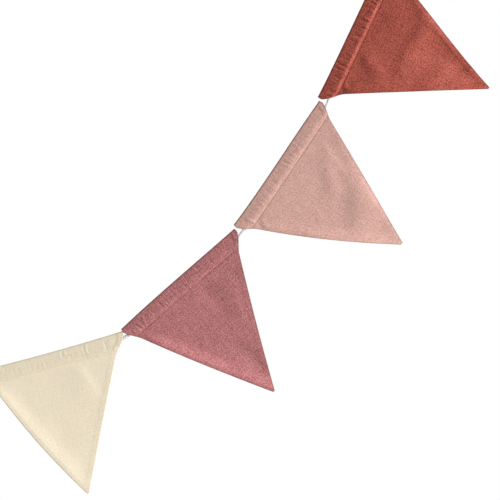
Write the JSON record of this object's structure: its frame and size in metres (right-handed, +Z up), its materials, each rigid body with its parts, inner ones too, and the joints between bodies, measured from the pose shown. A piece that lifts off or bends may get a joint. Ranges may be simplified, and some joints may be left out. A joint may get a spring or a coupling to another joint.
{
  "type": "fabric bunting",
  "caption": "Fabric bunting of plain doubled triangular linen flags threaded on a white cotton cord, hanging in half a swag between two tied loops.",
  "frame": {"origin": "inside of the upper hanging loop's crown, where a hook bears", "axes": "+Z up, +X to the right along the bunting as it is seen from the front, the flags' fronts face -Y"},
  "size_m": [0.6875, 0.0144, 0.7041],
  "materials": {
    "cream_linen": "matt plain-woven linen",
    "mauve_linen": "matt plain-woven linen",
    "dusty_pink_linen": "matt plain-woven linen",
    "terracotta_linen": "matt plain-woven linen",
    "white_cord": "matt twisted cotton"
  },
  "bodies": {
    "root": {"flag_cream": "cream_linen", "flag_mauve": "mauve_linen", "flag_dusty_pink": "dusty_pink_linen", "flag_terracotta": "terracotta_linen", "cord": "white_cord", "knot_high": "white_cord", "knot_low": "white_cord", "loop_high": "white_cord", "loop_low": "white_cord"}
  },
  "joints": []
}
